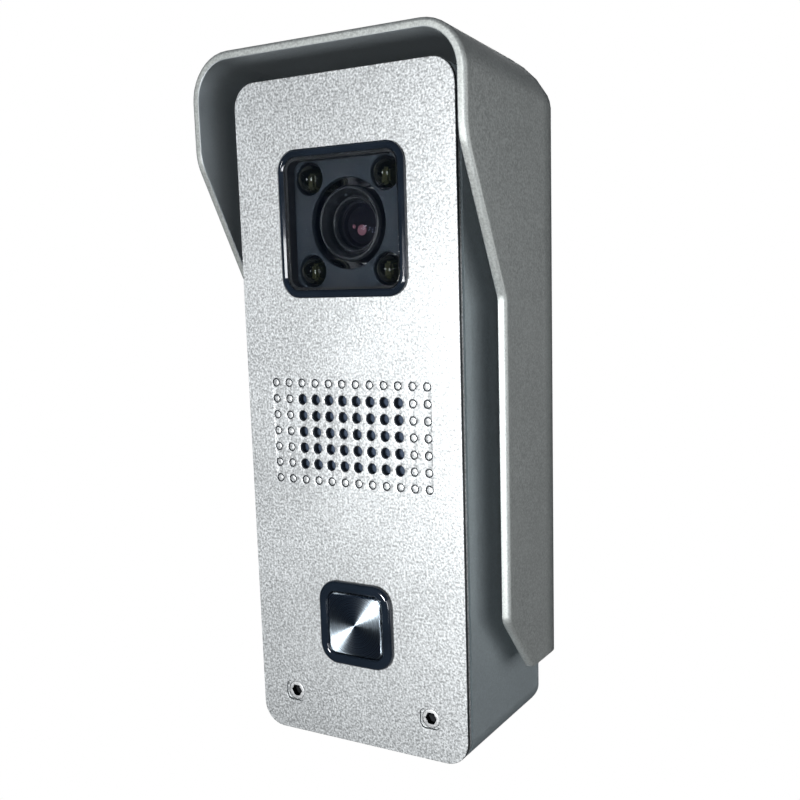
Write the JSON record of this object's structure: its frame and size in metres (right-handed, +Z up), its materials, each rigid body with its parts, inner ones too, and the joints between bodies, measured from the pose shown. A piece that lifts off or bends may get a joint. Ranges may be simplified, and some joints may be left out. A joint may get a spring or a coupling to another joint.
{
  "type": "door intercom panel",
  "caption": "Slim wall-mounted door intercom: camera window with infrared lamps, speaker grille and square call button on a silver body inside a bent metal rain hood.",
  "frame": {"origin": "centre of the two wall-screw holes, on the back face of the hood, which is the wall plane Y = 0", "axes": "+X to the right of a visitor who faces the panel, +Y out of the back into the wall, +Z up"},
  "size_m": [0.0584, 0.036, 0.1308],
  "materials": {
    "hood_metal": "fine satin silver-grey powder coat",
    "panel_metal": "sand-blasted silver with a fine sparkling grain",
    "housing_metal": "smooth satin grey",
    "gloss_black": "polished black moulding",
    "button_metal": "dark spun metal, turned round its centre",
    "clear_pane": "clear polycarbonate",
    "lens_glass": "dark coated glass",
    "lamp_epoxy": "olive tinted clear epoxy",
    "matt_black": "fine matt black moulding",
    "barrel_black": "black anodised turned aluminium",
    "rubber": "matt black rubber",
    "screw_steel": "bright zinc-plated steel",
    "panel_screw_steel": "stainless steel, sand-blasted",
    "spring_steel": "drawn spring wire",
    "speaker_steel": "plain pressed steel",
    "speaker_paper": "black treated paper",
    "mesh_cloth": "fine black woven dust cloth",
    "black_board": "black solder-masked glass laminate",
    "circuit_board": "green solder-masked glass laminate",
    "chip_plastic": "black moulded epoxy",
    "sensor_glass": "iridescent sensor under glass",
    "terminal_plastic": "green nylon",
    "plunger_plastic": "ivory acetal"
  },
  "bodies": {
    "root": {"rain_hood": "hood_metal", "hood_back_plate": "hood_metal", "housing": "housing_metal", "rear_cover": "matt_black", "front_panel": "panel_metal", "panel_gasket": "rubber", "window_bezel": "gloss_black", "window_pane": "clear_pane", "pane_gasket": "rubber", "camera_mask": "matt_black", "camera_cage": "matt_black", "ir_led_1": "lamp_epoxy", "ir_led_2": "lamp_epoxy", "ir_led_3": "lamp_epoxy", "ir_led_4": "lamp_epoxy", "led_board": "black_board", "lens_barrel": "barrel_black", "lens_front_glass": "lens_glass", "lens_retainer": "barrel_black", "lens_lock_ring": "screw_steel", "lens_holder": "matt_black", "image_sensor": "sensor_glass", "camera_board": "black_board", "camera_screw_1": "screw_steel", "camera_screw_2": "screw_steel", "grille_mesh": "mesh_cloth", "speaker_gasket": "rubber", "speaker_frame": "speaker_steel", "speaker_cone": "speaker_paper", "speaker_magnet": "speaker_steel", "speaker_clamp": "speaker_steel", "speaker_screw_1": "screw_steel", "speaker_screw_2": "screw_steel", "button_bezel": "gloss_black", "button_spring": "spring_steel", "button_guide": "matt_black", "button_gasket": "rubber", "button_board": "circuit_board", "switch_body": "matt_black", "button_screw_1": "screw_steel", "button_screw_2": "screw_steel", "mic_boot": "rubber", "microphone": "speaker_steel", "main_board": "circuit_board", "processor_chip": "chip_plastic", "audio_chip": "chip_plastic", "capacitor_1": "chip_plastic", "capacitor_2": "chip_plastic", "terminal_block": "terminal_plastic", "board_screw_1": "screw_steel", "board_screw_2": "screw_steel", "board_screw_3": "screw_steel", "board_screw_4": "screw_steel", "panel_screw_1": "panel_screw_steel", "panel_screw_2": "panel_screw_steel", "housing_screw_1": "screw_steel", "housing_screw_2": "screw_steel", "cable_grommet": "rubber"},
    "call_button": {"button_cap": "button_metal"},
    "switch_plunger": {"switch_plunger": "plunger_plastic"}
  },
  "joints": [
    {"name": "call_button_press", "type": "slide", "parent": "root", "child": "call_button", "axis": [0, 1, 0], "range_m": [0, 0.0008], "stiffness_N_per_m": 600, "springref_m": -0.002, "deforming": ["button_spring"]},
    {"name": "switch_plunger_press", "type": "slide", "parent": "root", "child": "switch_plunger", "axis": [0, 1, 0], "range_m": [0, 0.0008], "stiffness_N_per_m": 20, "springref_m": -0.0005}
  ],
  "couplings": [
    {"joint": "switch_plunger_press", "follows": "call_button_press", "ratio": 1}
  ]
}
